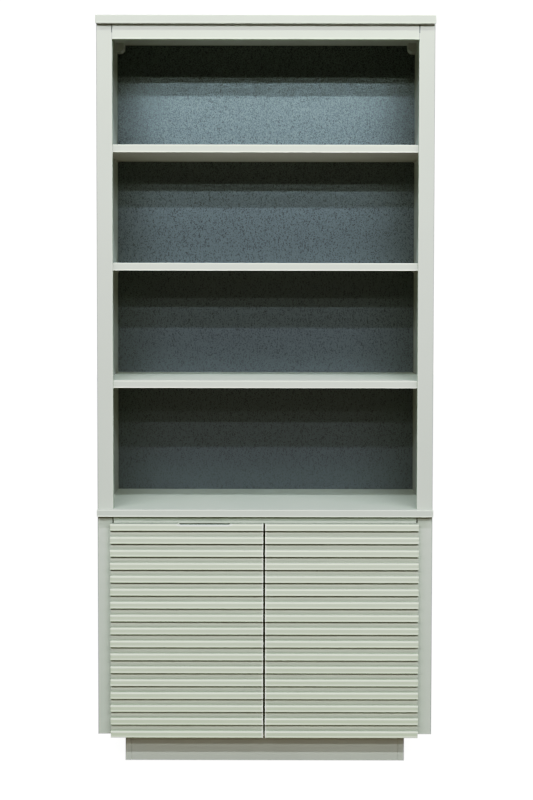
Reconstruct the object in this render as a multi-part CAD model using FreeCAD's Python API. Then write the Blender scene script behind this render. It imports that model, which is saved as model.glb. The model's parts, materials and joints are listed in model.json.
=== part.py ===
import FreeCAD, Part
import math
import os

# Tall bookcase: an open shelf unit (hutch) with a painted back, standing on a
# base cabinet with two slatted doors and a set-back plinth.
# Frame: +Z up, -Y is the front, origin at the middle of the footprint on the floor.

V = FreeCAD.Vector
os.makedirs("parts", exist_ok=True)

# ---------------------------------------------------------------- driving dimensions (mm)
WIDTH = 900.0            # over the side panels
HEIGHT = 2010.0          # floor to the top of the top board
CARCASS_DEPTH = 350.0    # face frame front to the rear edge of the sides
DOOR_PROUD = 28.5        # slat front ahead of the face frame
FRONT = -(CARCASS_DEPTH - DOOR_PROUD) / 2.0   # y of the face frame's front face

SIDE_T = 19.0            # side panel thickness
STILE_W = 41.8           # face frame stile width
FRAME_T = 20.0           # face frame thickness
RAIL_H = 38.0            # shelf unit's top rail
CAB_RAIL_H = 23.0        # cabinet's top rail; the doors lap over its lowest 5 mm
JOINT_GAP = 1.4          # open line at a rail's ends
JOINT_DEEP = 5.0
BACK_T = 6.0             # back panel thickness
RABBET_W = 10.0          # rabbet in the sides for the back panel

PLINTH_H = 85.0
PLINTH_W = 761.0
PLINTH_SETBACK = 36.0    # behind the face frame's front face
PLINTH_DEPTH = 294.0
PLINTH_SIDE_T = 16.6
PLINTH_BOARD_T = 18.0

CAB_TOP_Z0 = 678.0
CAB_TOP_T = 19.0
CAB_TOP_OVER = 19.0      # overhang ahead of the face frame
CAB_BOTTOM_T = 18.0
BOTTOM_RAIL_H = 32.0

HUTCH_Z0 = CAB_TOP_Z0 + CAB_TOP_T
TOP_T = 22.0
TOP_OVER = 20.0
HUTCH_Z1 = HEIGHT - TOP_T

SHELF_T = 20.0
SHELF_UNDERSIDES = {"upper": 1652.5, "middle": 1336.5, "lower": 1020.5}
CAB_SHELF_Z = 385.0
CAB_SHELF_T = 18.0
PIN_YS = (62.0, 300.0)   # shelf pin columns, behind the face frame's front face
PIN_DROP = 3.5           # pin centre below the shelf
PIN_R = 2.45
HOLE_R = 2.5
HOLE_PITCH = 32.0
HOLES_EACH_WAY = 2       # spare holes above and below each pin

DOOR_Z0 = 84.0
DOOR_Z1 = 660.0
DOOR_OUT = 411.7         # door outer edge, from the middle of the pair
DOOR_GAP = (2.9, 1.4)    # left and right door, edge to the middle of the pair
DOOR_SHIFT = -1.3        # the pair hangs this far left of the middle
DOOR_CLEAR = 2.0         # door back to face frame
SLAT_T = 8.5
SLAT_H = 17.5
SLAT_COUNT = 17
SLAT_PITCH = (DOOR_Z1 - DOOR_Z0 - SLAT_H) / (SLAT_COUNT - 1)

SCOOP_X0, SCOOP_X1 = -237.0, -84.5   # finger pull in the top edge of the left door
SCOOP_LIP_DROP = 1.4
SCOOP_RAMP = 14.0
SCOOP_POCKET_DROP = 14.0
SCOOP_LIP_T = 6.0

HINGE_ZS = (170.0, 574.0)
HINGE_EDGE = 5.0         # pin axis to the door's outer edge
HINGE_DEEP = 5.5         # pin axis to the door's back face
CUP_R = 17.45
CUP_DEPTH = 11.5
CUP_TAB = 3.05

X_IN = WIDTH / 2.0 - SIDE_T            # inner face of a side panel
X_STILE = WIDTH / 2.0 - STILE_W        # inner edge of a stile

made = {}


# ---------------------------------------------------------------- helpers
def box(x0, x1, y0, y1, z0, z1):
    """A block; y is measured back from the face frame's front face."""
    return Part.makeBox(x1 - x0, y1 - y0, z1 - z0, V(x0, FRONT + y0, z0))


def cyl(r, h, p, d):
    """A cylinder from p along d; p's y is measured from the face frame's front face."""
    return Part.makeCylinder(r, h, V(p[0], FRONT + p[1], p[2]), V(*d))


def ease(shape, r, pick):
    """Rounds the straight edges for which pick(mid point, direction) is true."""
    edges = []
    for e in shape.Edges:
        a, b = e.Vertexes[0].Point, e.Vertexes[-1].Point
        d = b - a
        if d.Length < 1e-6:
            continue
        d.normalize()
        m = (a + b) * 0.5
        if pick(V(m.x, m.y - FRONT, m.z), V(abs(d.x), abs(d.y), abs(d.z))):
            edges.append(e)
    return shape.makeFillet(r, edges) if edges else shape


def near(a, b, tol=0.02):
    return abs(a - b) < tol


def put(name, shapes):
    """Exports one node: a solid, or a group of separate solids."""
    if not isinstance(shapes, (list, tuple)):
        shapes = [shapes]
    solids = []
    for s in shapes:
        solids += s.Solids
    for s in solids:
        assert s.isValid(), name
    shape = solids[0] if len(solids) == 1 else Part.makeCompound(solids)
    shape.exportStep("parts/" + name + ".step")
    made[name] = (len(solids), sum(s.Volume for s in solids))


def mirror(s):
    return s.mirror(V(0, 0, 0), V(1, 0, 0))


def screw(p, d, head_r, head_t, shank_r, length, sink=0.0):
    """A screw whose head seat is at p and whose shank runs along d."""
    d = V(*d)
    d.normalize()
    p0 = V(p[0], FRONT + p[1], p[2]) + d * sink
    head = Part.makeCylinder(head_r, head_t, p0 - d * head_t, d)
    rim = min(0.5, head_t * 0.35)
    head = head.makeChamfer(rim, [e for e in head.Edges if len(e.Vertexes) == 1 and e.CenterOfMass.distanceToPoint(p0 - d * head_t) < 0.01])
    # cross recess
    turn = FreeCAD.Rotation(V(0, 0, 1), d)
    for long_x in (True, False):
        a, b = (head_r * 0.62, head_r * 0.15) if long_x else (head_r * 0.15, head_r * 0.62)
        arm = Part.makeBox(2.0 * a, 2.0 * b, head_t * 0.6, V(-a, -b, -0.01))
        arm.Placement = FreeCAD.Placement(p0 - d * head_t, turn)
        head = head.cut(arm)
    shank = Part.makeCylinder(shank_r, length, p0, d)
    return head.fuse(shank).removeSplitter()


def front_edges(y, z0, z1):
    return lambda m, d: d.x > 0.9 and near(m.y, y) and (near(m.z, z0) or near(m.z, z1))


# ---------------------------------------------------------------- plinth
px = PLINTH_W / 2.0
p0, p1 = PLINTH_SETBACK, PLINTH_SETBACK + PLINTH_DEPTH
inner = px - PLINTH_SIDE_T


def plinth_side(sign):
    s = box(-px, -inner, p0, p1, 0.0, PLINTH_H)
    s = ease(s, 1.0, lambda m, d: d.z > 0.9 and near(m.y, p0))
    # two countersunk nail dimples in the front end
    for z in (22.0, 66.0):
        s = s.cut(cyl(1.2, 2.0, (-px + PLINTH_SIDE_T / 2.0, p0, z), (0, 1, 0)))
    return s if sign < 0 else mirror(s)


put("plinth_side_left", plinth_side(-1))
put("plinth_side_right", plinth_side(1))
front_board = ease(box(-inner, inner, p0, p0 + PLINTH_BOARD_T, 0, PLINTH_H), 0.8,
                   lambda m, d: d.x > 0.9 and near(m.y, p0) and near(m.z, 0))
for sx in (-1, 1):
    front_board = front_board.cut(box(min(sx * inner, sx * (inner - 0.8)), max(sx * inner, sx * (inner - 0.8)),
                                      p0 - 1.0, p0 + 4.0, -1.0, PLINTH_H + 1.0))
put("plinth_front_board", front_board)
put("plinth_back_board", box(-inner, inner, p1 - PLINTH_BOARD_T, p1, 0, PLINTH_H))

blocks, screws = [], []
for sx in (-1, 1):
    for front in (True, False):
        y0 = p0 + PLINTH_BOARD_T if front else p1 - PLINTH_BOARD_T - 32.0
        x0 = -inner if sx < 0 else inner - 32.0
        b = box(x0, x0 + 32.0, y0, y0 + 32.0, 25.0, PLINTH_H)
        cx, cy = x0 + 16.0, y0 + 16.0
        b = b.cut(cyl(2.35, 60.0, (cx, cy, 25.0), (0, 0, 1)))
        blocks.append(b)
        screws.append(screw((cx, cy, 25.0), (0, 0, 1), 4.5, 2.4, 2.3, 72.0))
put("plinth_corner_blocks", blocks)
put("plinth_screws", screws)
plinth_screw_xy = [(sx * (inner - 16.0), y) for sx in (-1, 1)
                   for y in (p0 + PLINTH_BOARD_T + 16.0, p1 - PLINTH_BOARD_T - 16.0)]

# ---------------------------------------------------------------- base cabinet
hinge_screw_z = [z + dz for z in HINGE_ZS for dz in (-14.0, 14.0)]
dowel_ys = (70.0, 300.0)


def pin_holes(s, undersides):
    """Blind holes for the shelf pins in a left side panel, with spares."""
    for zu in undersides:
        for k in range(-HOLES_EACH_WAY, HOLES_EACH_WAY + 1):
            for y in PIN_YS:
                s = s.cut(cyl(HOLE_R, 11.0, (-X_IN, y, zu - PIN_DROP + k * HOLE_PITCH), (-1, 0, 0)))
    return s


def side_panel(z0, z1, undersides, dowels_at, back_screw_zs, extra=None):
    s = box(-WIDTH / 2.0, -X_IN, FRAME_T, CARCASS_DEPTH, z0, z1)
    s = s.cut(box(-X_IN - RABBET_W, -X_IN, CARCASS_DEPTH - BACK_T, CARCASS_DEPTH, z0, z1))
    s = ease(s, 1.2, lambda m, d: d.z > 0.9 and near(m.x, -WIDTH / 2.0) and near(m.y, CARCASS_DEPTH))
    s = pin_holes(s, undersides)
    for zz in back_screw_zs:
        s = s.cut(cyl(1.65, 15.0, (-X_IN - 5.0, CARCASS_DEPTH - BACK_T, zz), (0, -1, 0)))
    if dowels_at is not None:
        for y in dowel_ys:
            s = s.cut(cyl(4.05, 21.0, (-WIDTH / 2.0 + SIDE_T / 2.0, y, dowels_at), (0, 0, 1)))
    if extra is not None:
        s = s.cut(extra)
    return s


def stile(z0, z1, holes):
    s = box(-WIDTH / 2.0, -X_STILE, 0.0, FRAME_T, z0, z1)
    s = ease(s, 1.2, lambda m, d: d.z > 0.9 and near(m.y, 0.0))
    for z in holes:
        s = s.cut(cyl(1.65, 17.0, (-X_STILE, 10.0, z), (-1, 0, 0)))
    return s


def joint_lines(rail, x, gap, z0, z1):
    """Leaves a narrow open line at both ends of a rail's front face."""
    for sx in (-1, 1):
        rail = rail.cut(box(min(sx * x, sx * (x - gap)) - 0.0, max(sx * x, sx * (x - gap)), -1.0, JOINT_DEEP, z0 - 1.0, z1 + 1.0))
    return rail


cab_back_screw_zs = [150.0 + i * 153.0 for i in range(4)]
hutch_back_screw_zs = [745.0 + i * 172.0 for i in range(8)]

cab_side = side_panel(PLINTH_H, CAB_TOP_Z0, [CAB_SHELF_Z], None, cab_back_screw_zs)
put("cabinet_side_left", cab_side)
put("cabinet_side_right", mirror(cab_side))
cab_stile = stile(PLINTH_H, CAB_TOP_Z0, hinge_screw_z)
put("cabinet_stile_left", cab_stile)
put("cabinet_stile_right", mirror(cab_stile))

CAB_RAIL_Z0 = CAB_TOP_Z0 - CAB_RAIL_H
rail = box(-X_STILE, X_STILE, 0, FRAME_T, CAB_RAIL_Z0, CAB_TOP_Z0)
rail = ease(rail, 1.0, lambda m, d: d.x > 0.9 and near(m.y, 0) and near(m.z, CAB_RAIL_Z0))
rail = joint_lines(rail, X_STILE, JOINT_GAP, CAB_RAIL_Z0, CAB_TOP_Z0)
for x in (-20.0, 20.0):
    rail = rail.cut(cyl(1.65, 13.0, (x + DOOR_SHIFT, 8.0, CAB_RAIL_Z0), (0, 0, 1)))
put("cabinet_top_rail", rail)
rail = box(-X_STILE, X_STILE, 0, FRAME_T, PLINTH_H, PLINTH_H + BOTTOM_RAIL_H)
put("cabinet_bottom_rail", ease(rail, 1.0, front_edges(0, PLINTH_H, PLINTH_H + BOTTOM_RAIL_H)))

bottom = box(-X_IN, X_IN, FRAME_T, CARCASS_DEPTH - BACK_T, PLINTH_H, PLINTH_H + CAB_BOTTOM_T)
for x, y in plinth_screw_xy:
    bottom = bottom.cut(cyl(2.35, 13.0, (x, y, PLINTH_H), (0, 0, 1)))
bottom_screw_xs = (-300.0, -100.0, 100.0, 300.0)
for x in bottom_screw_xs:
    bottom = bottom.cut(cyl(1.65, 15.0, (x, CARCASS_DEPTH - BACK_T, PLINTH_H + 9.0), (0, -1, 0)))
put("cabinet_bottom_panel", bottom)


def back_panel(z0, z1, spots):
    """Back panel with a countersink for each screw."""
    s = box(-X_IN - RABBET_W + 0.5, X_IN + RABBET_W - 0.5, CARCASS_DEPTH - BACK_T, CARCASS_DEPTH, z0, z1)
    out = []
    for x, z in spots:
        s = s.cut(cyl(1.65, BACK_T, (x, CARCASS_DEPTH, z), (0, -1, 0)))
        s = s.cut(cyl(3.35, 2.2, (x, CARCASS_DEPTH, z), (0, -1, 0)))
        out.append(screw((x, CARCASS_DEPTH, z), (0, -1, 0), 3.3, 1.8, 1.6, 16.5, sink=2.2))
    return s, out


spots = [(sx * (X_IN + 5.0), z) for sx in (-1, 1) for z in cab_back_screw_zs]
spots += [(x, PLINTH_H + 9.0) for x in bottom_screw_xs]
panel, scr = back_panel(PLINTH_H, CAB_TOP_Z0, spots)
put("cabinet_back_panel", panel)
put("cabinet_back_screws", scr)

top = box(-WIDTH / 2.0, WIDTH / 2.0, -CAB_TOP_OVER, CARCASS_DEPTH, CAB_TOP_Z0, HUTCH_Z0)
top = ease(top, 2.5, lambda m, d: d.z > 0.9 and near(m.y, -CAB_TOP_OVER))
top = ease(top, 1.8, lambda m, d: (near(m.z, HUTCH_Z0) or near(m.z, CAB_TOP_Z0)) and m.y < CARCASS_DEPTH - 1)
for sx in (-1, 1):
    for y in dowel_ys:
        top = top.cut(cyl(4.05, 14.0, (sx * (WIDTH / 2.0 - SIDE_T / 2.0), y, HUTCH_Z0), (0, 0, -1)))
put("cabinet_top_board", top)

put("hutch_dowels", [cyl(4.0, 33.0, (sx * (WIDTH / 2.0 - SIDE_T / 2.0), y, HUTCH_Z0 - 13.5), (0, 0, 1))
                     for sx in (-1, 1) for y in dowel_ys])

blocks = []
for sx in (-1, 1):
    for y0 in (40.0, 270.0):
        b = box(-X_IN, -X_IN + 22.0, y0, y0 + 60.0, CAB_TOP_Z0 - 22.0, CAB_TOP_Z0)
        b = ease(b, 6.0, lambda m, d: d.y > 0.9 and near(m.x, -X_IN + 22.0) and near(m.z, CAB_TOP_Z0 - 22.0))
        blocks.append(b if sx < 0 else mirror(b))
put("cabinet_corner_blocks", blocks)

shelf = box(-X_IN + 0.5, X_IN - 0.5, 42.0, CARCASS_DEPTH - BACK_T - 0.5, CAB_SHELF_Z, CAB_SHELF_Z + CAB_SHELF_T)
put("cabinet_shelf", ease(shelf, 1.5, front_edges(42.0, CAB_SHELF_Z, CAB_SHELF_Z + CAB_SHELF_T)))


def shelf_pin(y, zu):
    """Steel shelf pin: shank in the side panel, collar and a flat rest under the shelf."""
    zc = zu - PIN_DROP
    s = cyl(PIN_R, 12.0, (-X_IN - 10.0, y, zc), (1, 0, 0))
    s = s.fuse(cyl(3.5, 1.5, (-X_IN, y, zc), (1, 0, 0)))
    s = s.fuse(box(-X_IN, -X_IN + 11.0, y - 4.0, y + 4.0, zu - 1.6, zu))
    s = s.fuse(box(-X_IN, -X_IN + 7.0, y - 1.0, y + 1.0, zu - 5.0, zu - 1.0))
    return s.removeSplitter()


put("cabinet_shelf_pins", [s for y in PIN_YS for p in [shelf_pin(y, CAB_SHELF_Z)] for s in (p, mirror(p))])

# ---------------------------------------------------------------- shelf unit (hutch)
BLOCK_W, BLOCK_H, BLOCK_Y0, BLOCK_R = 23.0, 25.0, 299.0, 14.0
BLOCK_SX, BLOCK_SZ = 4.9, 5.6      # screw lines, from the side panel and from the top board
rear = CARCASS_DEPTH - BACK_T
block_hole = cyl(1.85, 12.0, (-X_IN, 315.0, HUTCH_Z1 - BLOCK_SZ), (-1, 0, 0))
hutch_side = side_panel(HUTCH_Z0, HUTCH_Z1, list(SHELF_UNDERSIDES.values()), HUTCH_Z0,
                        hutch_back_screw_zs, block_hole)
put("hutch_side_left", hutch_side)
put("hutch_side_right", mirror(hutch_side))
hutch_stile = stile(HUTCH_Z0, HUTCH_Z1, [])
put("hutch_stile_left", hutch_stile)
put("hutch_stile_right", mirror(hutch_stile))
rail = box(-X_STILE, X_STILE, 0, FRAME_T, HUTCH_Z1 - RAIL_H, HUTCH_Z1)
rail = ease(rail, 1.0, lambda m, d: d.x > 0.9 and near(m.y, 0) and near(m.z, HUTCH_Z1 - RAIL_H))
put("hutch_top_rail", joint_lines(rail, X_STILE, JOINT_GAP * 0.55, HUTCH_Z1 - RAIL_H, HUTCH_Z1))

top = box(-WIDTH / 2.0, WIDTH / 2.0, -TOP_OVER, CARCASS_DEPTH, HUTCH_Z1, HEIGHT)
top = ease(top, 2.5, lambda m, d: d.z > 0.9 and near(m.y, -TOP_OVER))
top = ease(top, 2.0, lambda m, d: (near(m.z, HUTCH_Z1) or near(m.z, HEIGHT)) and m.y < CARCASS_DEPTH - 1)
for sx in (-1, 1):
    top = top.cut(cyl(1.85, 13.0, (sx * (X_IN - BLOCK_SX), 330.0, HUTCH_Z1), (0, 0, 1)))
put("hutch_top_board", top)

spots = [(sx * (X_IN + 5.0), z) for sx in (-1, 1) for z in hutch_back_screw_zs]
panel, scr = back_panel(HUTCH_Z0, HUTCH_Z1, spots)
put("hutch_back_panel", panel)
put("hutch_back_screws", scr)

for name, zu in SHELF_UNDERSIDES.items():
    s = box(-X_IN + 0.5, X_IN - 0.5, FRAME_T + 0.3, rear - 0.5, zu, zu + SHELF_T)
    s = ease(s, 1.5, front_edges(FRAME_T + 0.3, zu, zu + SHELF_T))
    put("hutch_shelf_" + name, s)
put("hutch_shelf_pins", [s for zu in SHELF_UNDERSIDES.values() for y in PIN_YS
                         for p in [shelf_pin(y, zu)] for s in (p, mirror(p))])

blocks, screws = [], []
for sx in (-1, 1):
    b = box(-X_IN, -X_IN + BLOCK_W, BLOCK_Y0, rear, HUTCH_Z1 - BLOCK_H, HUTCH_Z1)
    b = ease(b, BLOCK_R, lambda m, d: d.y > 0.9 and near(m.x, -X_IN + BLOCK_W) and near(m.z, HUTCH_Z1 - BLOCK_H))
    b = b.cut(cyl(1.85, 30.0, (-X_IN + 30.0, 315.0, HUTCH_Z1 - BLOCK_SZ), (-1, 0, 0)))
    b = b.cut(cyl(1.85, 30.0, (-X_IN + BLOCK_SX, 330.0, HUTCH_Z1 - 30.0), (0, 0, 1)))
    s1 = screw((-X_IN + BLOCK_W, 315.0, HUTCH_Z1 - BLOCK_SZ), (-1, 0, 0), 3.4, 1.6, 1.8, BLOCK_W + 11.0)
    s2 = screw((-X_IN + BLOCK_SX, 330.0, HUTCH_Z1 - BLOCK_H), (0, 0, 1), 3.4, 1.6, 1.8, BLOCK_H + 12.0)
    blocks.append(b if sx < 0 else mirror(b))
    screws += [s1, s2] if sx < 0 else [mirror(s1), mirror(s2)]
put("hutch_corner_blocks", blocks)
put("corner_block_screws", screws)

# ---------------------------------------------------------------- doors
back_y = -DOOR_CLEAR
slab_y = -DOOR_PROUD + SLAT_T
axis_x = -DOOR_OUT + HINGE_EDGE
axis_y = back_y - HINGE_DEEP
cup_x = -DOOR_OUT + CUP_TAB + CUP_R
nose_x0 = -DOOR_OUT + 2.15
flange_x0, flange_x1 = cup_x - 5.0, cup_x + 15.0
cup_screw_x = cup_x + 5.0


CATCH_H = 18.0
STRIKE_Z = CAB_RAIL_Z0 - CATCH_H / 2.0


def scoop_tool(lip):
    """The finger pull's cutter: a shallow dip over the lip, or the pocket behind it."""
    if lip:
        dip = [(SCOOP_RAMP * i / 8.0, -SCOOP_LIP_DROP * (1.0 - math.cos(math.pi * i / 8.0)) / 2.0) for i in range(9)]
        pts = [(SCOOP_X0 + a, z) for a, z in dip] + [(SCOOP_X1 - a, z) for a, z in reversed(dip)]
        ya, yb = -DOOR_PROUD - 1.0, back_y + 1.0
    else:
        pts = [(SCOOP_X0 + 5.0, 0.0), (SCOOP_X0 + 20.0, -SCOOP_POCKET_DROP), (SCOOP_X1 - 20.0, -SCOOP_POCKET_DROP), (SCOOP_X1 - 5.0, 0.0)]
        ya, yb, r = -DOOR_PROUD + SCOOP_LIP_T, back_y + 1.0, 8.0
    pts = [(pts[0][0], 6.0)] + pts + [(pts[-1][0], 6.0)]
    vs = [V(x, FRONT + ya, DOOR_Z1 + z) for x, z in pts]
    s = Part.Face(Part.makePolygon(vs + [vs[0]])).extrude(V(0, yb - ya, 0))
    if lip:
        return s
    return ease(s, r, lambda m, d: d.y > 0.9 and near(m.z, DOOR_Z1 - SCOOP_POCKET_DROP))


def door_panel(left):
    s = box(-DOOR_OUT, -DOOR_GAP[0 if left else 1], slab_y, back_y, DOOR_Z0, DOOR_Z1)
    s = ease(s, 3.5, lambda m, d: near(m.y, back_y) and d.z > 0.9 and near(m.x, -DOOR_OUT))
    s = ease(s, 1.0, lambda m, d: near(m.y, back_y) and (d.x > 0.9 or (d.z > 0.9 and m.x > -DOOR_OUT / 2.0)))
    for z in HINGE_ZS:
        s = s.cut(cyl(CUP_R + 0.05, CUP_DEPTH + 0.1, (cup_x, back_y, z), (0, -1, 0)))
        s = s.cut(box(nose_x0 - 0.05, cup_x - 8.0, back_y - CUP_DEPTH - 0.1, back_y + 0.5, z - 8.95, z + 8.95))
        for dz in (-22.5, 22.5):
            s = s.cut(cyl(1.65, 12.5, (cup_screw_x, back_y, z + dz), (0, -1, 0)))
    s = s.cut(cyl(1.3, 9.5, (-14.0, back_y, STRIKE_Z), (0, -1, 0)))
    if left:
        s = s.cut(scoop_tool(True)).cut(scoop_tool(False))
    return s


def door_slats(left):
    out = []
    for i in range(SLAT_COUNT):
        z1 = DOOR_Z1 - i * SLAT_PITCH
        z0 = z1 - SLAT_H
        s = box(-DOOR_OUT, -DOOR_GAP[0 if left else 1], -DOOR_PROUD, slab_y, z0, z1)
        s = ease(s, 2.2, lambda m, d: near(m.y, -DOOR_PROUD) and d.x > 0.9 and near(m.z, z1))
        s = ease(s, 0.7, lambda m, d: near(m.y, -DOOR_PROUD))
        if left and i == 0:
            s = s.cut(scoop_tool(True)).cut(scoop_tool(False))
        out.append(s)
    return out


def hinge_cup(z):
    """Hinge cup with its pivot nose, lugs for the pin, and a screw flange."""
    yb = back_y
    s = cyl(CUP_R, CUP_DEPTH, (cup_x, yb, z), (0, -1, 0))
    s = s.fuse(box(nose_x0, cup_x - 8.0, yb - CUP_DEPTH, yb, z - 8.9, z + 8.9))
    fl = box(flange_x0, flange_x1, yb, yb + 1.0, z - 28.0, z + 28.0)
    fl = ease(fl, 6.0, lambda m, d: d.y > 0.9)
    s = s.fuse(fl)
    s = s.fuse(cyl(CUP_R + 1.2, 1.0, (cup_x, yb, z), (0, 1, 0)).common(
        box(cup_x - 6.0, cup_x + 30.0, yb, yb + 1.0, z - 30.0, z + 30.0)))
    hollow = cyl(CUP_R - 0.9, CUP_DEPTH + 0.3, (cup_x, yb + 1.1, z), (0, -1, 0))
    lugs = box(nose_x0, axis_x + 3.0, yb - CUP_DEPTH, yb + 0.0, z - 8.9, z + 8.9)
    hollow = hollow.cut(lugs)
    hollow = hollow.fuse(box(nose_x0 + 0.75, cup_x - 5.0, yb - CUP_DEPTH + 0.8, yb + 1.2, z - 6.7, z + 6.7))
    s = s.cut(hollow)
    s = s.cut(Part.makeCylinder(1.0, 17.8, V(axis_x, FRONT + axis_y, z - 8.9), V(0, 0, 1)))
    for dz in (-22.5, 22.5):
        s = s.cut(cyl(1.75, 2.0, (cup_screw_x, yb + 1.5, z + dz), (0, -1, 0)))
    return s.removeSplitter()


def hinge_pin(z):
    return Part.makeCylinder(0.98, 17.6, V(axis_x, FRONT + axis_y, z - 8.8), V(0, 0, 1))


def hinge_arm(z, t):
    """Goose-neck arm: eye round the pin, neck out of the cup, plate on the stile's inner edge."""
    ax = axis_x + t

    def b(dx0, dx1, dy0, dy1, h):
        return box(ax + dx0, ax + dx1, axis_y + dy0, axis_y + dy1, z - h, z + h)
    to_edge = -X_STILE - ax
    s = Part.makeCylinder(2.0, 12.8, V(ax, FRONT + axis_y, z - 6.4), V(0, 0, 1))
    s = s.fuse(b(0.8, 8.0, -0.7, 0.7, 6.4))
    s = s.fuse(b(6.6, 8.0, -0.7, 7.5, 6.4))
    s = s.fuse(b(to_edge, 8.0, 6.35, 7.5, 6.4))
    s = s.fuse(b(to_edge, to_edge + 1.4, 6.35, 10.5, 6.4))
    plate = b(to_edge, to_edge + 1.4, 9.5, 25.5, 21.0)
    plate = ease(plate, 4.0, lambda m, d: d.x > 0.9)
    s = s.fuse(plate)
    s = s.cut(Part.makeCylinder(1.05, 14.0, V(ax, FRONT + axis_y, z - 7.0), V(0, 0, 1)))
    for dz in (-14.0, 14.0):
        s = s.cut(cyl(1.75, 6.0, (-X_STILE + 3.0, 10.0, z + dz), (-1, 0, 0)))
    return s.removeSplitter()


cups = [hinge_cup(z) for z in HINGE_ZS]
pins = [hinge_pin(z) for z in HINGE_ZS]
cup_screws = [screw((cup_screw_x, back_y + 1.0, z + dz), (0, -1, 0), 3.3, 1.3, 1.6, 12.5)
              for z in HINGE_ZS for dz in (-22.5, 22.5)]
arm_screws = [screw((-X_STILE + 1.4, 10.0, z + dz), (-1, 0, 0), 3.1, 1.3, 1.6, 17.5)
              for z in HINGE_ZS for dz in (-14.0, 14.0)]

SIDES = (("left", DOOR_SHIFT, lambda s: s), ("right", -DOOR_SHIFT, mirror))
for side, t, f in SIDES:
    def place(s):
        return f(s.translated(V(t, 0, 0)))
    left = side == "left"
    put(side + "_door_panel", place(door_panel(left)))
    put(side + "_door_slats", [place(s) for s in door_slats(left)])
    put(side + "_hinge_cups", [place(s) for s in cups])
    put(side + "_hinge_pins", [place(s) for s in pins])
    put(side + "_hinge_arms", [f(hinge_arm(z, t)) for z in HINGE_ZS])
    put(side + "_hinge_cup_screws", [place(s) for s in cup_screws])
    put(side + "_hinge_arm_screws", [f(s) for s in arm_screws])
    strike = cyl(8.0, 1.0, (-14.0, back_y, STRIKE_Z), (0, 1, 0)).fuse(cyl(1.25, 9.0, (-14.0, back_y, STRIKE_Z), (0, -1, 0)))
    put(side + "_strike_plate", place(strike.removeSplitter()))
    print(side, "hinge axis  x %.2f y %.2f" % (f(Part.Vertex(axis_x + t, 0, 0)).Point.x, FRONT + axis_y))

c = DOOR_SHIFT
catch = box(c - 27.0, c + 27.0, -0.7, 16.0, CAB_RAIL_Z0 - CATCH_H, CAB_RAIL_Z0)
catch = ease(catch, 2.0, lambda m, d: d.y > 0.9)
catch = catch.cut(box(c - 1.5, c + 1.5, -1.0, 2.0, CAB_RAIL_Z0 - CATCH_H - 2.0, CAB_RAIL_Z0 + 1.0))
for x in (-20.0, 20.0):
    catch = catch.cut(cyl(1.65, 18.0, (c + x, 8.0, CAB_RAIL_Z0 - CATCH_H), (0, 0, 1)))
put("magnetic_catch", catch)
put("catch_screws", [screw((c + x, 8.0, CAB_RAIL_Z0 - CATCH_H), (0, 0, 1), 3.1, 1.3, 1.6, 30.0)
                     for x in (-20.0, 20.0)])
put("door_bumpers", [cyl(4.5, DOOR_CLEAR - 0.1, (c + sx * x, 0.0, 99.0), (0, -1, 0))
                     for sx in (-1, 1) for x in (14.0, 380.0)])

total = sum(n for n, v in made.values())
print("nodes", len(made), "solids", total)
for k in sorted(made):
    print("  %-28s %3d  %12.0f mm3" % (k, made[k][0], made[k][1]))
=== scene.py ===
import bpy
import bmesh
import json
import math
from mathutils import Matrix, Vector

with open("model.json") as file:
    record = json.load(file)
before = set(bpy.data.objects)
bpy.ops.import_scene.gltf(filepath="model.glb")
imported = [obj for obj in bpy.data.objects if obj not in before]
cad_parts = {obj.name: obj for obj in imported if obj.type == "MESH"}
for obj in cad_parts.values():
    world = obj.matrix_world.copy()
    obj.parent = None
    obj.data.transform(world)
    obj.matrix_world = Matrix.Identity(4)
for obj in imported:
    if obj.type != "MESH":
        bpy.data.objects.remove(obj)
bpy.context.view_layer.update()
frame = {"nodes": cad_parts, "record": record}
nodes = frame["nodes"]
scene = bpy.context.scene

MM = 0.001
FRONT = -160.75          # y of the face frame's front face, mm

# ---------------------------------------------------------------- camera
# Fitted to the straight edges of the object, seen from 3.7 m.
IMG_W, IMG_H = 533.0, 800.0
FOCAL_PX = 1386.083
PRINCIPAL = (270.608, 326.294)
TILT = math.radians(2.2538)
ROLL = math.radians(0.09)
YAW = math.radians(-0.0257)

cam_data = bpy.data.cameras.new("camera")
cam = bpy.data.objects.new("camera", cam_data)
scene.collection.objects.link(cam)
cy, sy = math.cos(YAW), math.sin(YAW)
ex = Vector((cy, -sy, 0.0))
ey = Vector((sy, cy, 0.0))
ez = Vector((0.0, 0.0, 1.0))
forward = ey * math.cos(TILT) - ez * math.sin(TILT)
up0 = ey * math.sin(TILT) + ez * math.cos(TILT)
right = ex * math.cos(ROLL) + up0 * math.sin(ROLL)
up = up0 * math.cos(ROLL) - ex * math.sin(ROLL)
m = Matrix.Identity(4)
for i in range(3):
    m[i][0], m[i][1], m[i][2] = right[i], up[i], -forward[i]
m[0][3], m[1][3], m[2][3] = 0.01583, (FRONT - 3700.0) * MM, 1.3336
cam.matrix_world = m
cam_data.sensor_fit = "VERTICAL"
cam_data.sensor_height = 24.0
cam_data.lens = FOCAL_PX * 24.0 / IMG_H
cam_data.shift_x = (IMG_W / 2.0 - PRINCIPAL[0]) / IMG_H
cam_data.shift_y = (PRINCIPAL[1] - IMG_H / 2.0) / IMG_H
cam_data.clip_start = 0.05
cam_data.clip_end = 60.0
cam_data.dof.use_dof = False
scene.camera = cam

# ---------------------------------------------------------------- light
look = scene.view_settings
look.view_transform = "Standard"
look.look = "None"
look.exposure = 0.0
look.gamma = 1.0
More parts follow.
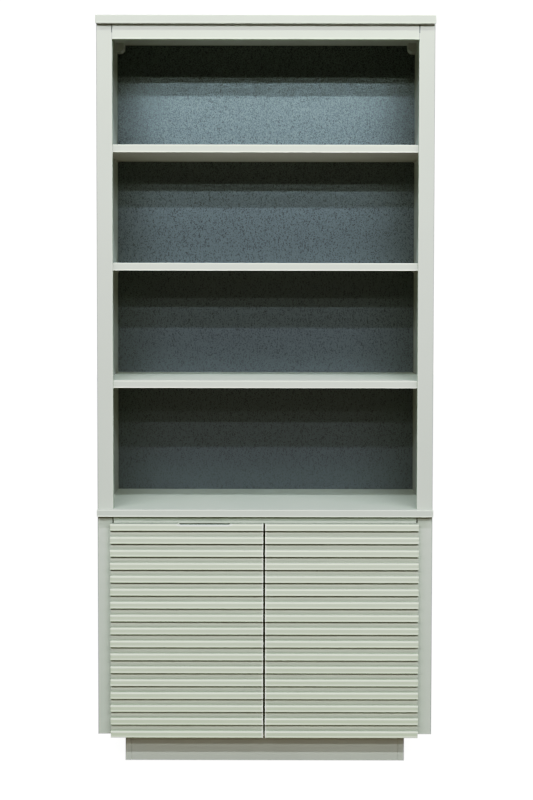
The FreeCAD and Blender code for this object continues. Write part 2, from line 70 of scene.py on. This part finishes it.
# A soft film-like shoulder and toe: scene brightness (up to TONE_TOP) to shown brightness.
TONE_TOP = 2.0
TONE = ((0.0, 0.0), (0.02, 0.0145), (0.06, 0.046), (0.15, 0.133), (0.3, 0.306), (0.4, 0.413), (0.5, 0.505),
        (0.6, 0.564), (0.7, 0.606), (0.9, 0.672), (1.2, 0.768), (1.5, 0.870), (2.0, 1.0))
look.use_curve_mapping = True
tone = look.curve_mapping
tone.black_level = (0.0, 0.0, 0.0)
tone.white_level = (TONE_TOP, TONE_TOP, TONE_TOP)
tone_points = tone.curves[3].points
tone_points[0].location = (0.0, 0.0)
tone_points[1].location = (1.0, 1.0)
for tx, ty in TONE[1:-1]:
    tone_points.new(tx / TONE_TOP, ty)
# Warm shadows and cooler mid tones, as a camera set for cool lamps shows them.
for channel, pts in ((0, ((0.01, 0.0108), (0.06, 0.061), (0.2, 0.2), (0.5, 0.5))),
                     (2, ((0.01, 0.0086), (0.035, 0.0367), (0.06, 0.0675), (0.13, 0.151), (0.22, 0.249), (0.50, 0.514), (0.68, 0.681)))):
    side_points = tone.curves[channel].points
    side_points[0].location = (0.0, 0.0)
    side_points[1].location = (1.0, 1.0)
    for tx, ty in pts:
        side_points.new(tx, ty)
    for tp in side_points:
        tp.handle_type = "AUTO_CLAMPED"
for tp in tone_points:
    tp.handle_type = "AUTO_CLAMPED"
tone.update()


def tube_light(name, y_mm, z_mm, watts, length=5.0, thick=0.05, color=(1.0, 1.0, 1.0), aim_z=1.1, x=0.0):
    """A long thin lamp hung across the room, aimed at the object."""
    d = bpy.data.lights.new(name, "AREA")
    d.shape = "RECTANGLE"
    d.size, d.size_y = length, thick
    d.energy = watts
    d.color = color
    o = bpy.data.objects.new(name, d)
    scene.collection.objects.link(o)
    o.location = (x, (FRONT + y_mm) * MM, z_mm * MM)
    to = Vector((x, FRONT * MM, aim_z)) - o.location
    z = (-to).normalized()
    along = Vector((1.0, 0.0, 0.0))
    r = Matrix((along, z.cross(along), z)).transposed()
    o.matrix_world = Matrix.Translation(o.location) @ r.to_4x4()
    return o


# Four rows of long lamps hung one behind the other over the room.
LAMPS = (("row_1", -1320.0, 3022.0, 68.0, (0.97, 1.0, 1.0)), ("row_2", -2987.0, 2891.0, 80.0, (0.99, 1.0, 0.97)),
         ("row_3", -4860.0, 2941.0, 75.0, (1.0, 1.0, 0.97)), ("row_4", -6644.0, 2986.0, 32.0, (1.0, 1.0, 0.95)))
for lamp_name, lamp_y, lamp_z, lamp_w, lamp_c in LAMPS:
    tube_light(lamp_name, lamp_y, lamp_z, lamp_w, color=lamp_c, x=0.28)

world = bpy.data.worlds.new("studio")
scene.world = world
world.use_nodes = True
wn, wl = world.node_tree.nodes, world.node_tree.links
wn.clear()
w_out = wn.new("ShaderNodeOutputWorld")
w_mix = wn.new("ShaderNodeMixShader")
w_path = wn.new("ShaderNodeLightPath")
w_dim = wn.new("ShaderNodeBackground")
w_tc = wn.new("ShaderNodeTexCoord")
w_sep = wn.new("ShaderNodeSeparateXYZ")
wl.new(w_tc.outputs["Generated"], w_sep.inputs[0])
w_up = wn.new("ShaderNodeMapRange")
w_up.inputs["From Min"].default_value = 0.04
w_up.inputs["From Max"].default_value = 0.75
w_up.inputs["To Min"].default_value = 0.012
w_up.inputs["To Max"].default_value = 0.44
wl.new(w_sep.outputs["Z"], w_up.inputs["Value"])
wl.new(w_up.outputs[0], w_dim.inputs["Strength"])
w_tint = wn.new("ShaderNodeValToRGB")
w_tint.color_ramp.elements[0].color = (1.0, 0.88, 0.70, 1.0)
w_tint.color_ramp.elements[1].position = 0.6
w_tint.color_ramp.elements[1].color = (0.82, 0.95, 1.0, 1.0)
wl.new(w_sep.outputs["Z"], w_tint.inputs["Fac"])
wl.new(w_tint.outputs[0], w_dim.inputs["Color"])
w_seen = wn.new("ShaderNodeBackground")
w_seen.inputs["Color"].default_value = (1.0, 1.0, 1.0, 1.0)
w_seen.inputs["Strength"].default_value = 2.2
wl.new(w_path.outputs["Is Camera Ray"], w_mix.inputs[0])
wl.new(w_dim.outputs[0], w_mix.inputs[1])
wl.new(w_seen.outputs[0], w_mix.inputs[2])
wl.new(w_mix.outputs[0], w_out.inputs["Surface"])


# ---------------------------------------------------------------- materials
class Mat:
    """A small helper for building one procedural material."""

    def __init__(self, name):
        self.m = bpy.data.materials.new(name)
        self.m.use_nodes = True
        self.n, self.l = self.m.node_tree.nodes, self.m.node_tree.links
        self.n.clear()
        self.out = self.n.new("ShaderNodeOutputMaterial")
        self.b = self.n.new("ShaderNodeBsdfPrincipled")
        self.l.new(self.b.outputs[0], self.out.inputs["Surface"])
        self.tc = self.n.new("ShaderNodeTexCoord")

    def coords(self, scale=(1, 1, 1), loc=(0, 0, 0), rot=(0, 0, 0)):
        mp = self.n.new("ShaderNodeMapping")
        mp.inputs["Location"].default_value = loc
        mp.inputs["Rotation"].default_value = rot
        mp.inputs["Scale"].default_value = scale
        self.l.new(self.tc.outputs["Object"], mp.inputs["Vector"])
        return mp.outputs[0]

    def noise(self, vec, scale, detail=3.0, rough=0.55, distort=0.0):
        t = self.n.new("ShaderNodeTexNoise")
        t.inputs["Scale"].default_value = scale
        t.inputs["Detail"].default_value = detail
        t.inputs["Roughness"].default_value = rough
        t.inputs["Distortion"].default_value = distort
        self.l.new(vec, t.inputs["Vector"])
        return t.outputs["Fac"]

    def ramp(self, fac, stops):
        r = self.n.new("ShaderNodeValToRGB")
        e = r.color_ramp.elements
        e[0].position, e[0].color = stops[0][0], stops[0][1]
        e[1].position, e[1].color = stops[-1][0], stops[-1][1]
        for p, c in stops[1:-1]:
            x = e.new(p)
            x.color = c
        self.l.new(fac, r.inputs["Fac"])
        return r.outputs["Color"]

    def map(self, fac, lo, hi, a=0.0, b=1.0):
        r = self.n.new("ShaderNodeMapRange")
        r.inputs["From Min"].default_value = a
        r.inputs["From Max"].default_value = b
        r.inputs["To Min"].default_value = lo
        r.inputs["To Max"].default_value = hi
        self.l.new(fac, r.inputs["Value"])
        return r.outputs[0]

    def math(self, op, a, b=None):
        x = self.n.new("ShaderNodeMath")
        x.operation = op
        for i, v in enumerate((a, b)):
            if v is None:
                continue
            if isinstance(v, (int, float)):
                x.inputs[i].default_value = v
            else:
                self.l.new(v, x.inputs[i])
        return x.outputs[0]

    def mix(self, fac, a, b, blend="MIX"):
        x = self.n.new("ShaderNodeMix")
        x.data_type = "RGBA"
        x.blend_type = blend
        for sock, v in ((x.inputs["Factor"], fac), (x.inputs[6], a), (x.inputs[7], b)):
            if isinstance(v, (int, float)):
                sock.default_value = v
            elif isinstance(v, tuple):
                sock.default_value = v
            else:
                self.l.new(v, sock)
        return x.outputs[2]

    def arris(self, lo=0.01, hi=0.09):
        """1 on the rounded edges of a piece (where its own normal leaves the axes), 0 on flat faces."""
        s = self.n.new("ShaderNodeSeparateXYZ")
        self.l.new(self.tc.outputs["Normal"], s.inputs[0])
        ax = [self.math("ABSOLUTE", s.outputs[i]) for i in range(3)]
        top = self.math("MAXIMUM", self.math("MAXIMUM", ax[0], ax[1]), ax[2])
        return self.map(self.math("SUBTRACT", 1.0, top), 0.0, 1.0, lo, hi)

    def bump(self, height, strength, distance, normal=None):
        x = self.n.new("ShaderNodeBump")
        x.inputs["Strength"].default_value = strength
        x.inputs["Distance"].default_value = distance
        self.l.new(height, x.inputs["Height"])
        if normal is not None:
            self.l.new(normal, x.inputs["Normal"])
        return x.outputs[0]

    def set(self, **kw):
        for k, v in kw.items():
            s = self.b.inputs[k.replace("_", " ")]
            if isinstance(v, (int, float, tuple)):
                s.default_value = v
            else:
                self.l.new(v, s)
        return self


def rgb(r, g, b):
    return (r, g, b, 1.0)


def shade(c, k):
    return (min(1.0, c[0] * k), min(1.0, c[1] * k), min(1.0, c[2] * k), 1.0)


PAINT = rgb(0.487, 0.541, 0.428)


def paint(name, base=PAINT, rough=0.42, seed=0.0, along=(1, 1, 1), edge=1.36, slats=False, joints=(), light_and_shade_bands=(), outer=False, under=None):
    """Sprayed satin paint: faint cloudiness, fine orange peel, slow changes of gloss, and painted highlights on the
    rounded edges; the options add painted shade and painted highlights in bands.
    """
    k = Mat(name)
    v = k.coords(loc=(seed, seed * 0.7, seed * 1.3))
    vs = k.coords(scale=along, loc=(seed * 0.3, seed, seed * 0.6))
    cloud = k.noise(v, 3.2, 4.0, 0.6)
    streak = k.noise(vs, 9.0, 3.0, 0.5)
    speck = k.noise(v, 900.0, 2.0, 0.7)
    c = k.mix(k.map(cloud, 0.0, 1.0, 0.3, 0.7), shade(base, 0.965), shade(base, 1.03))
    c = k.mix(k.map(streak, 0.0, 0.35, 0.35, 0.75), c, shade(base, 0.975))
    c = k.mix(k.map(speck, 0.0, 0.22, 0.45, 0.8), c, shade(base, 0.93))
    patchy = k.noise(vs, 26.0, 3.0, 0.6)
    # painted highlight on the rounded edges, in patches; these edges are also a little glossier
    edge_highlight = k.math("MULTIPLY", k.arris(), k.map(patchy, 0.65, 1.0, 0.35, 0.6))
    c = k.mix(edge_highlight, c, shade(base, edge))
    if slats:
        # where the slats repeat up the door: z below the top of the slat above, in mm
        sep = k.n.new("ShaderNodeSeparateXYZ")
        k.l.new(k.tc.outputs["Object"], sep.inputs[0])
        down = k.math("MODULO", k.math("MULTIPLY", k.math("SUBTRACT", 0.660, sep.outputs["Z"]), 1000.0), 34.906)
        front = k.math("LESS_THAN", sep.outputs["Y"], (FRONT - 27.0) * MM)
        # painted highlight on a band of the slats' front face near their lower edge
        low = k.math("MULTIPLY", k.math("MULTIPLY", k.map(down, 0.0, 1.0, 11.9, 12.7), k.map(down, 1.0, 0.0, 15.0, 16.0)), front)
        c = k.mix(k.math("MULTIPLY", low, k.map(patchy, 0.7, 1.0, 0.35, 0.6)), c, shade(base, 1.50))
        # painted highlight along the slats' upper front edge: on the upward-facing rounding and on a band of the front
        # face just below it
        nz = k.n.new("ShaderNodeSeparateXYZ")
        k.l.new(k.tc.outputs["Normal"], nz.inputs[0])
        pale = k.math("MULTIPLY", k.map(nz.outputs["Z"], 0.0, 1.0, 0.10, 0.40), k.map(nz.outputs["Y"], 1.0, 0.0, -0.30, -0.08))
        c = k.mix(k.math("MULTIPLY", pale, k.map(patchy, 0.8, 1.0, 0.35, 0.6)), c, shade(base, 1.42))
        crest = k.math("MULTIPLY", k.math("MULTIPLY", k.map(down, 0.0, 1.0, 0.7, 1.3), k.map(down, 1.0, 0.0, 3.0, 3.9)), front)
        c = k.mix(k.math("MULTIPLY", crest, k.map(patchy, 0.75, 1.0, 0.35, 0.6)), c, shade(base, 1.85))
        # the upward faces darker; the door's own top edge darker still, as painted shade under the cabinet top's
        # overhang
        flat = k.map(nz.outputs["Z"], 0.0, 1.0, 0.85, 0.97)
        c = k.mix(k.math("MULTIPLY", flat, k.map(patchy, 0.7, 1.0, 0.35, 0.6)), c, shade(base, 0.80))
        door_top_shade = k.math("MULTIPLY", flat, k.math("GREATER_THAN", sep.outputs["Z"], 0.6595))
        c = k.mix(k.math("MULTIPLY", door_top_shade, k.map(patchy, 0.8, 1.0, 0.35, 0.6)), c, shade(base, 0.56))
        # the next bands are only on the door's front, not on its inner face or its ends
        ahead = k.math("MULTIPLY", k.math("LESS_THAN", sep.outputs["Y"], (FRONT - 15.0) * MM), k.math("LESS_THAN", k.math("ABSOLUTE", nz.outputs["X"]), 0.6))
        # a painted highlight in a band beside the gap between the doors, and a narrow line of painted shade at the
        # gap's edge
        ends = k.math("ABSOLUTE", k.math("ADD", sep.outputs["X"], 2.0 * MM))
        brink = k.math("MULTIPLY", k.map(ends, 1.0, 0.0, 2.9 * MM, 3.3 * MM), ahead)
        ends = k.math("MULTIPLY", k.map(ends, 1.0, 0.0, 4.9 * MM, 6.1 * MM), ahead)
        c = k.mix(k.math("MULTIPLY", ends, k.map(patchy, 0.8, 1.0, 0.35, 0.6)), c, rgb(0.96, 1.0, 0.84))
        c = k.mix(k.math("MULTIPLY", brink, 0.95), c, shade(base, 0.10))
        # the ends that face each other across the gap, dark behind their front edge: painted shade inside the gap
        side = k.math("MULTIPLY", k.map(k.math("ABSOLUTE", nz.outputs["X"]), 0.0, 1.0, 0.85, 0.97), k.math("LESS_THAN", k.math("ABSOLUTE", sep.outputs["X"]), 8.0 * MM))
        side = k.math("MULTIPLY", side, k.map(sep.outputs["Y"], 0.0, 1.0, (FRONT - 27.8) * MM, (FRONT - 27.0) * MM))
        c = k.mix(k.math("MULTIPLY", side, 0.95), c, shade(base, 0.20))
        # painted shadow under each slat on the door panel
        slat_shadow = k.math("MULTIPLY", k.map(down, 0.0, 1.0, 16.6, 17.3), k.map(down, 1.0, 0.0, 21.2, 22.4))
        slat_shadow = k.math("MULTIPLY", slat_shadow, ahead)
        c = k.mix(k.math("MULTIPLY", slat_shadow, k.map(patchy, 0.8, 1.0, 0.35, 0.6)), c, shade(base, 0.28))
        # painted highlight on the door panel below each slat's shadow
        glow = k.math("MULTIPLY", k.map(down, 0.0, 1.0, 23.6, 24.4), k.map(down, 1.0, 0.0, 26.4, 27.4))
        glow = k.math("MULTIPLY", glow, ahead)
        c = k.mix(k.math("MULTIPLY", glow, k.map(patchy, 0.5, 1.0, 0.35, 0.6)), c, shade(base, 1.30))
        # painted shade on the door panel just above each slat
        foot = k.math("MULTIPLY", k.map(down, 0.0, 1.0, 30.5, 32.5), k.math("SUBTRACT", 1.0, front))
        foot = k.math("MULTIPLY", foot, ahead)
        c = k.mix(k.math("MULTIPLY", foot, k.map(patchy, 0.6, 1.0, 0.35, 0.6)), c, shade(base, 0.76))
        # a painted highlight along the finger pull's lip
        away = k.math("ABSOLUTE", k.math("ADD", sep.outputs["X"], 162.05 * MM))
        lip_z = k.map(away, 0.6586, 0.660, 62.25 * MM, 76.25 * MM)
        under = k.math("SUBTRACT", lip_z, sep.outputs["Z"])
        lip = k.math("MULTIPLY", k.map(under, 1.0, 0.0, 2.8 * MM, 3.6 * MM), k.map(away, 1.0, 0.0, 72.0 * MM, 77.0 * MM))
        lip = k.math("MULTIPLY", lip, front)
        c = k.mix(k.math("MULTIPLY", lip, k.map(patchy, 0.85, 1.0, 0.35, 0.6)), c, rgb(0.93, 1.0, 0.90))
    if under:
        # downward faces darker and greyer: painted shade
        nz = k.n.new("ShaderNodeSeparateXYZ")
        k.l.new(k.tc.outputs["Normal"], nz.inputs[0])
        c = k.mix(k.map(nz.outputs["Z"], 0.0, 1.0, -0.85, -0.97), c, under)
    if outer:
        # painted shade on the outermost upright edges
        sep = k.n.new("ShaderNodeSeparateXYZ")
        k.l.new(k.tc.outputs["Object"], sep.inputs[0])
        ax = k.math("ABSOLUTE", sep.outputs["X"])
        rim = k.map(ax, 0.0, 1.0, 447.4 * MM, 448.2 * MM)
        c = k.mix(k.math("MULTIPLY", rim, k.map(patchy, 0.75, 1.0, 0.35, 0.6)), c, shade(base, 0.45))
        # painted highlight along the stiles' inner edges
        rim = k.map(ax, 1.0, 0.0, 410.8 * MM, 411.8 * MM)
        c = k.mix(k.math("MULTIPLY", rim, k.map(patchy, 0.7, 1.0, 0.35, 0.6)), c, shade(base, 1.14))
    for cz0, cz1, dim in light_and_shade_bands:
        # painted shade or painted highlight in a band of heights (mm): shadow under an overhanging board or above the
        # doors, highlight along a board's lower edge
        sep = k.n.new("ShaderNodeSeparateXYZ")
        k.l.new(k.tc.outputs["Object"], sep.inputs[0])
        band = k.math("MULTIPLY", k.map(sep.outputs["Z"], 0.0, 1.0, (cz0 - 0.5) * MM, cz0 * MM), k.map(sep.outputs["Z"], 1.0, 0.0, cz1 * MM, (cz1 + 0.5) * MM))
        c = k.mix(k.math("MULTIPLY", band, k.map(patchy, 0.8, 1.0, 0.35, 0.6)), c, shade(base, dim))
    for jx, jz0, jz1 in joints:
        # a dark line in the open joint between two boards (mm): painted shade in the crack
        sep = k.n.new("ShaderNodeSeparateXYZ")
        k.l.new(k.tc.outputs["Object"], sep.inputs[0])
        off = k.math("ABSOLUTE", k.math("SUBTRACT", k.math("ABSOLUTE", sep.outputs["X"]), jx * MM))
        line = k.map(off, 1.0, 0.0, 1.5 * MM, 2.1 * MM)
        line = k.math("MULTIPLY", line, k.math("GREATER_THAN", sep.outputs["Z"], jz0 * MM))
        line = k.math("MULTIPLY", line, k.math("LESS_THAN", sep.outputs["Z"], jz1 * MM))
        c = k.mix(k.math("MULTIPLY", line, k.map(patchy, 0.75, 0.95, 0.35, 0.6)), c, shade(base, 0.20))
    peel = k.noise(v, 420.0, 2.0, 0.5)
    wave = k.noise(v, 38.0, 2.0, 0.5)
    n = k.bump(peel, 0.16, 0.0002)
    n = k.bump(wave, 0.10, 0.0012, n)
    r = k.map(k.noise(v, 7.0, 3.0, 0.6), rough - 0.05, rough + 0.07, 0.3, 0.7)
    r = k.math("SUBTRACT", r, k.math("MULTIPLY", edge_highlight, 0.08))
    k.set(Base_Color=c, Roughness=r, Normal=n)
    k.b.inputs["Specular IOR Level"].default_value = 0.42
    return k.m


BACK_BASE = rgb(0.0375, 0.0435, 0.0520)
BACK_SPEC = 0.52
BACK_ROUGH = 0.32


def back_paint():
    """Dark blue-grey paint over fine upright grain in front, bare hardboard behind."""
    k = Mat("back_paint")
    base = BACK_BASE
    v = k.coords()
    grain = k.noise(k.coords(scale=(1.0, 1.0, 0.30)), 330.0, 2.0, 0.6, 0.2)
    speck = k.noise(k.coords(scale=(1.0, 1.0, 0.80), loc=(1.7, 0, 0.9)), 400.0, 2.0, 0.6)
    pores = k.noise(k.coords(scale=(1.0, 1.0, 0.20), loc=(3.1, 0, 1.7)), 520.0, 2.0, 0.6)
    where = k.noise(k.coords(scale=(1.0, 1.0, 0.35), loc=(0.4, 0, 5.2)), 5.5, 3.0, 0.5, 0.6)
    cloud = k.noise(v, 4.0, 4.0, 0.6)
    c = k.mix(k.map(cloud, 0.0, 1.0, 0.3, 0.7), shade(base, 0.92), shade(base, 1.08))
    # the grain is raised most towards the top of the panel
    sep = k.n.new("ShaderNodeSeparateXYZ")
    k.l.new(k.tc.outputs["Object"], sep.inputs[0])
    raised = k.map(sep.outputs["Z"], 0.16, 1.0, 1.36, 1.75)
    c = k.mix(k.math("MULTIPLY", raised, k.map(grain, 0.0, 0.30, 0.46, 0.66)), c, shade(base, 1.40))
    c = k.mix(k.math("MULTIPLY", raised, k.map(speck, 0.0, 0.28, 0.50, 0.66)), c, shade(base, 1.40))
    c = k.mix(k.map(pores, 0.0, 0.05, 0.54, 0.72), c, shade(base, 0.72))
    # lighter towards the bottom of the panel: painted light
    c = k.mix(k.map(raised, 0.50, 0.0), c, shade(base, 1.40))
    # painted shadow, dark right under the top board
    c = k.mix(k.map(sep.outputs["Z"], 0.0, 0.85, 1.80, 1.87), c, shade(base, 0.40))
    # bare rear face
    rear = k.math("GREATER_THAN", sep.outputs["Y"], (FRONT + 346.5) * MM)
    fibre = k.noise(v, 240.0, 5.0, 0.7, 1.5)
    board = k.ramp(fibre, [(0.3, rgb(0.17, 0.105, 0.058)), (0.52, rgb(0.245, 0.158, 0.090)), (0.75, rgb(0.33, 0.225, 0.135))])
    board = k.mix(k.map(cloud, 0.0, 0.5, 0.3, 0.75), board, rgb(0.20, 0.125, 0.070))
    c = k.mix(rear, c, board)
    r = k.map(k.math("ADD", k.math("MULTIPLY", grain, 0.35), k.math("MULTIPLY", speck, 0.65)), BACK_ROUGH - 0.10, BACK_ROUGH + 0.10, 0.38, 0.62)
    r = k.math("MAXIMUM", r, k.math("MULTIPLY", rear, 0.72))
    g0, s0 = k.math("SUBTRACT", grain, 0.5), k.math("SUBTRACT", speck, 0.5)
    lift = k.math("ADD", k.math("MULTIPLY", g0, k.map(where, 0.35, 0.70, 0.35, 0.65)), k.math("MULTIPLY", s0, k.map(where, 1.15, 0.70, 0.35, 0.65)))
    lift = k.math("MULTIPLY", lift, k.map(raised, 0.0, 1.0))
    n = k.bump(lift, 0.52, 0.0007)
    n = k.bump(pores, 0.03, 0.0004, n)
    k.set(Base_Color=c, Roughness=r, Normal=n)
    k.b.inputs["IOR"].default_value = 1.8
    # the fine grain shines unevenly, so it shows in the gloss and hardly in the shade
    uneven = k.math("MULTIPLY", raised, k.map(speck, -0.27, 0.29, 0.40, 0.62))
    uneven = k.math("ADD", uneven, k.map(raised, 0.075, 0.0))
    k.l.new(k.math("ADD", BACK_SPEC, uneven), k.b.inputs["Specular IOR Level"])
    k.b.inputs["Specular Tint"].default_value = (0.69, 0.92, 0.85, 1.0)
    return k.m


def metal(name, base, rough, scale=(1, 1, 0.15), bump=0.12):
    k = Mat(name)
    v = k.coords()
    fine = k.noise(k.coords(scale=scale), 1800.0, 3.0, 0.6)
    cloud = k.noise(v, 120.0, 4.0, 0.6)
    c = k.mix(k.map(cloud, 0.0, 1.0, 0.3, 0.7), shade(base, 0.82), shade(base, 1.06))
    k.set(Base_Color=c, Roughness=k.map(cloud, rough - 0.06, rough + 0.12, 0.3, 0.7), Normal=k.bump(fine, bump, 0.0001))
    k.b.inputs["Metallic"].default_value = 1.0
    return k.m


def bare_wood():
    k = Mat("bare_wood")
    g = k.noise(k.coords(scale=(1.0, 0.12, 0.12)), 160.0, 6.0, 0.6, 1.0)
    rings = k.noise(k.coords(scale=(1.0, 0.2, 0.2), loc=(2, 1, 0)), 34.0, 3.0, 0.5, 2.0)
    c = k.ramp(g, [(0.3, rgb(0.36, 0.23, 0.12)), (0.5, rgb(0.52, 0.37, 0.21)), (0.72, rgb(0.63, 0.48, 0.30))])
    c = k.mix(k.map(rings, 0.0, 0.5, 0.35, 0.7), c, rgb(0.40, 0.27, 0.145))
    k.set(Base_Color=c, Roughness=k.map(g, 0.55, 0.75, 0.3, 0.7), Normal=k.bump(g, 0.3, 0.0006))
    return k.m


def plastic(name, base, rough, trans=0.0):
    k = Mat(name)
    v = k.coords()
    s = k.noise(v, 700.0, 2.0, 0.5)
    c = k.mix(k.map(k.noise(v, 60.0, 3.0, 0.5), 0.0, 1.0, 0.3, 0.7), shade(base, 0.94), shade(base, 1.04))
    k.set(Base_Color=c, Roughness=k.map(s, rough - 0.05, rough + 0.08, 0.3, 0.7), Normal=k.bump(s, 0.15, 0.0002))
    if trans:
        k.b.inputs["Transmission Weight"].default_value = trans
    return k.m


paint_plain = paint("carcass_paint", seed=0.0)
paint_h = paint("carcass_paint_long", seed=4.0, along=(0.15, 1, 1))
paint_v = paint("carcass_paint_upright", seed=9.0, along=(1, 1, 0.12))
paint_slat = paint("slat_paint", base=rgb(0.483, 0.560, 0.382), seed=13.0, along=(0.12, 1, 1), edge=1.50, slats=True)
paint_door = paint("door_paint", base=rgb(0.482, 0.520, 0.405), seed=17.0, along=(0.12, 1, 1), slats=True)
# lighter copy of the paint: painted light on the plinth
paint_plinth = paint("plinth_paint", base=rgb(0.575, 0.625, 0.502), seed=21.0, along=(0.15, 1, 1))
JOINTS = ((408.2, 655.0, 678.0), (408.2, 1966.0, 1988.0))
# painted shadows under the overhanging top boards (mm, gain)
OVERHANG_SHADOWS = ((673.0, 677.9, 0.34), (1985.4, 1989.0, 0.50))
# painted highlights along the shelves' lower and upper front edges (mm, gain)
EDGE_HIGHLIGHTS = tuple(b for zu in (1652.5, 1336.5, 1020.5) for b in ((zu + 1.0, zu + 3.0, 1.80), (zu + 17.0, zu + 18.8, 1.32)))
# lighter copy of the paint: painted light on the rails, with bands of painted shadow under the boards and above the
# doors and a painted highlight along the upper rail's lower edge
paint_rail = paint("rail_paint", base=shade(PAINT, 1.12), seed=4.0, along=(0.15, 1, 1), joints=JOINTS, light_and_shade_bands=OVERHANG_SHADOWS + ((654.0, 658.6, 0.22), (1951.2, 1953.2, 1.35)))
# a still lighter copy for the cabinet's top rail: painted light, with painted shadow under the cabinet top and above
# the doors
paint_rail_low = paint("low_rail_paint", base=shade(PAINT, 1.32), seed=5.0, along=(0.15, 1, 1), joints=JOINTS, light_and_shade_bands=((673.0, 677.9, 0.29), (654.0, 658.6, 0.19)))
paint_stile = paint("stile_paint", seed=9.0, along=(1, 1, 0.12), joints=JOINTS, light_and_shade_bands=OVERHANG_SHADOWS, outer=True)
# lighter copy of the paint for the shelves: painted light, with painted highlights along their front edges and painted
# shade underneath
paint_shelf = paint("shelf_paint", base=shade(PAINT, 1.10), seed=6.0, along=(0.15, 1, 1), edge=1.75, light_and_shade_bands=EDGE_HIGHLIGHTS, under=rgb(0.50, 0.475, 0.42))
# painted highlights along the top boards' lower front edges and painted shade underneath
paint_board = paint("board_paint", seed=7.0, along=(0.15, 1, 1), edge=1.62, light_and_shade_bands=((679.4, 681.8, 1.60), (1989.6, 1991.8, 1.25)), under=rgb(0.40, 0.415, 0.385))
# darker copy of the paint: painted shade on the corner blocks
paint_block = paint("block_paint", base=rgb(0.33, 0.345, 0.315), seed=3.0)
# darker, greyer copy of the paint for the side panels; the darkening is painted shade
paint_side = paint("side_paint", base=rgb(0.440, 0.472, 0.408), seed=9.0, along=(1, 1, 0.12))
back = back_paint()
nickel = metal("hinge_nickel", rgb(0.62, 0.60, 0.57), 0.30)
zinc = metal("screw_steel", rgb(0.55, 0.54, 0.50), 0.38)
wood = bare_wood()
pad = plastic("bumper", rgb(0.72, 0.72, 0.70), 0.35, 0.35)
catch = plastic("catch_plastic", rgb(0.040, 0.032, 0.026), 0.40)

by_slot = {"screw_steel": zinc, "hinge_nickel": nickel, "bare_wood": wood, "bumper": pad,
           "catch_plastic": catch, "back_paint": back}
slot_of = {s["node"]: s["material_slot"] for s in frame["record"]["subparts"]}
for name, o in nodes.items():
    slot = slot_of.get(name, "carcass_paint")
    mat = by_slot.get(slot)
    if mat is None:
        if "slats" in name:
            mat = paint_slat
        elif "door_panel" in name:
            mat = paint_door
        elif "stile" in name:
            mat = paint_stile
        elif name == "cabinet_top_rail":
            mat = paint_rail_low
        elif "top_rail" in name:
            mat = paint_rail
        elif name.startswith("hutch_shelf"):
            mat = paint_shelf
        elif "top_board" in name:
            mat = paint_board
        elif name == "hutch_corner_blocks":
            mat = paint_block
        elif "_side_" in name and not name.startswith("plinth"):
            mat = paint_side
        elif name.startswith("plinth"):
            mat = paint_plinth
        elif "stile" in name or "side" in name or "panel" in name:
            mat = paint_v
        elif "rail" in name or "shelf" in name or "board" in name:
            mat = paint_h
        else:
            mat = paint_plain
    if len(o.material_slots) == 0:
        o.data.materials.append(mat)
    for s in o.material_slots:
        s.material = mat

# ---------------------------------------------------------------- floor
bm = bmesh.new()
bmesh.ops.create_grid(bm, x_segments=8, y_segments=8, size=14.0)
fm = bpy.data.meshes.new("floor")
bm.to_mesh(fm)
bm.free()
floor = bpy.data.objects.new("floor", fm)
scene.collection.objects.link(floor)
floor.location = (0, 0, -0.0005)
fl = bpy.data.materials.new("floor_pale")
fl.use_nodes = True
fn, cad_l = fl.node_tree.nodes, fl.node_tree.links
fn.clear()
f_out = fn.new("ShaderNodeOutputMaterial")
f_mix = fn.new("ShaderNodeMixShader")
f_path = fn.new("ShaderNodeLightPath")
f_dim = fn.new("ShaderNodeBsdfDiffuse")
f_dim.inputs["Color"].default_value = (0.30, 0.242, 0.205, 1.0)
f_add = fn.new("ShaderNodeAddShader")
f_pale = fn.new("ShaderNodeBsdfDiffuse")
f_pale.inputs["Color"].default_value = (0.50, 0.50, 0.495, 1.0)
f_glow = fn.new("ShaderNodeEmission")
f_glow.inputs["Color"].default_value = (1.0, 1.0, 0.995, 1.0)
f_glow.inputs["Strength"].default_value = 1.86
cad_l.new(f_path.outputs["Is Camera Ray"], f_mix.inputs[0])
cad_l.new(f_dim.outputs[0], f_mix.inputs[1])
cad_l.new(f_pale.outputs[0], f_add.inputs[0])
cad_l.new(f_glow.outputs[0], f_add.inputs[1])
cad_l.new(f_add.outputs[0], f_mix.inputs[2])
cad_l.new(f_mix.outputs[0], f_out.inputs["Surface"])
fm.materials.append(fl)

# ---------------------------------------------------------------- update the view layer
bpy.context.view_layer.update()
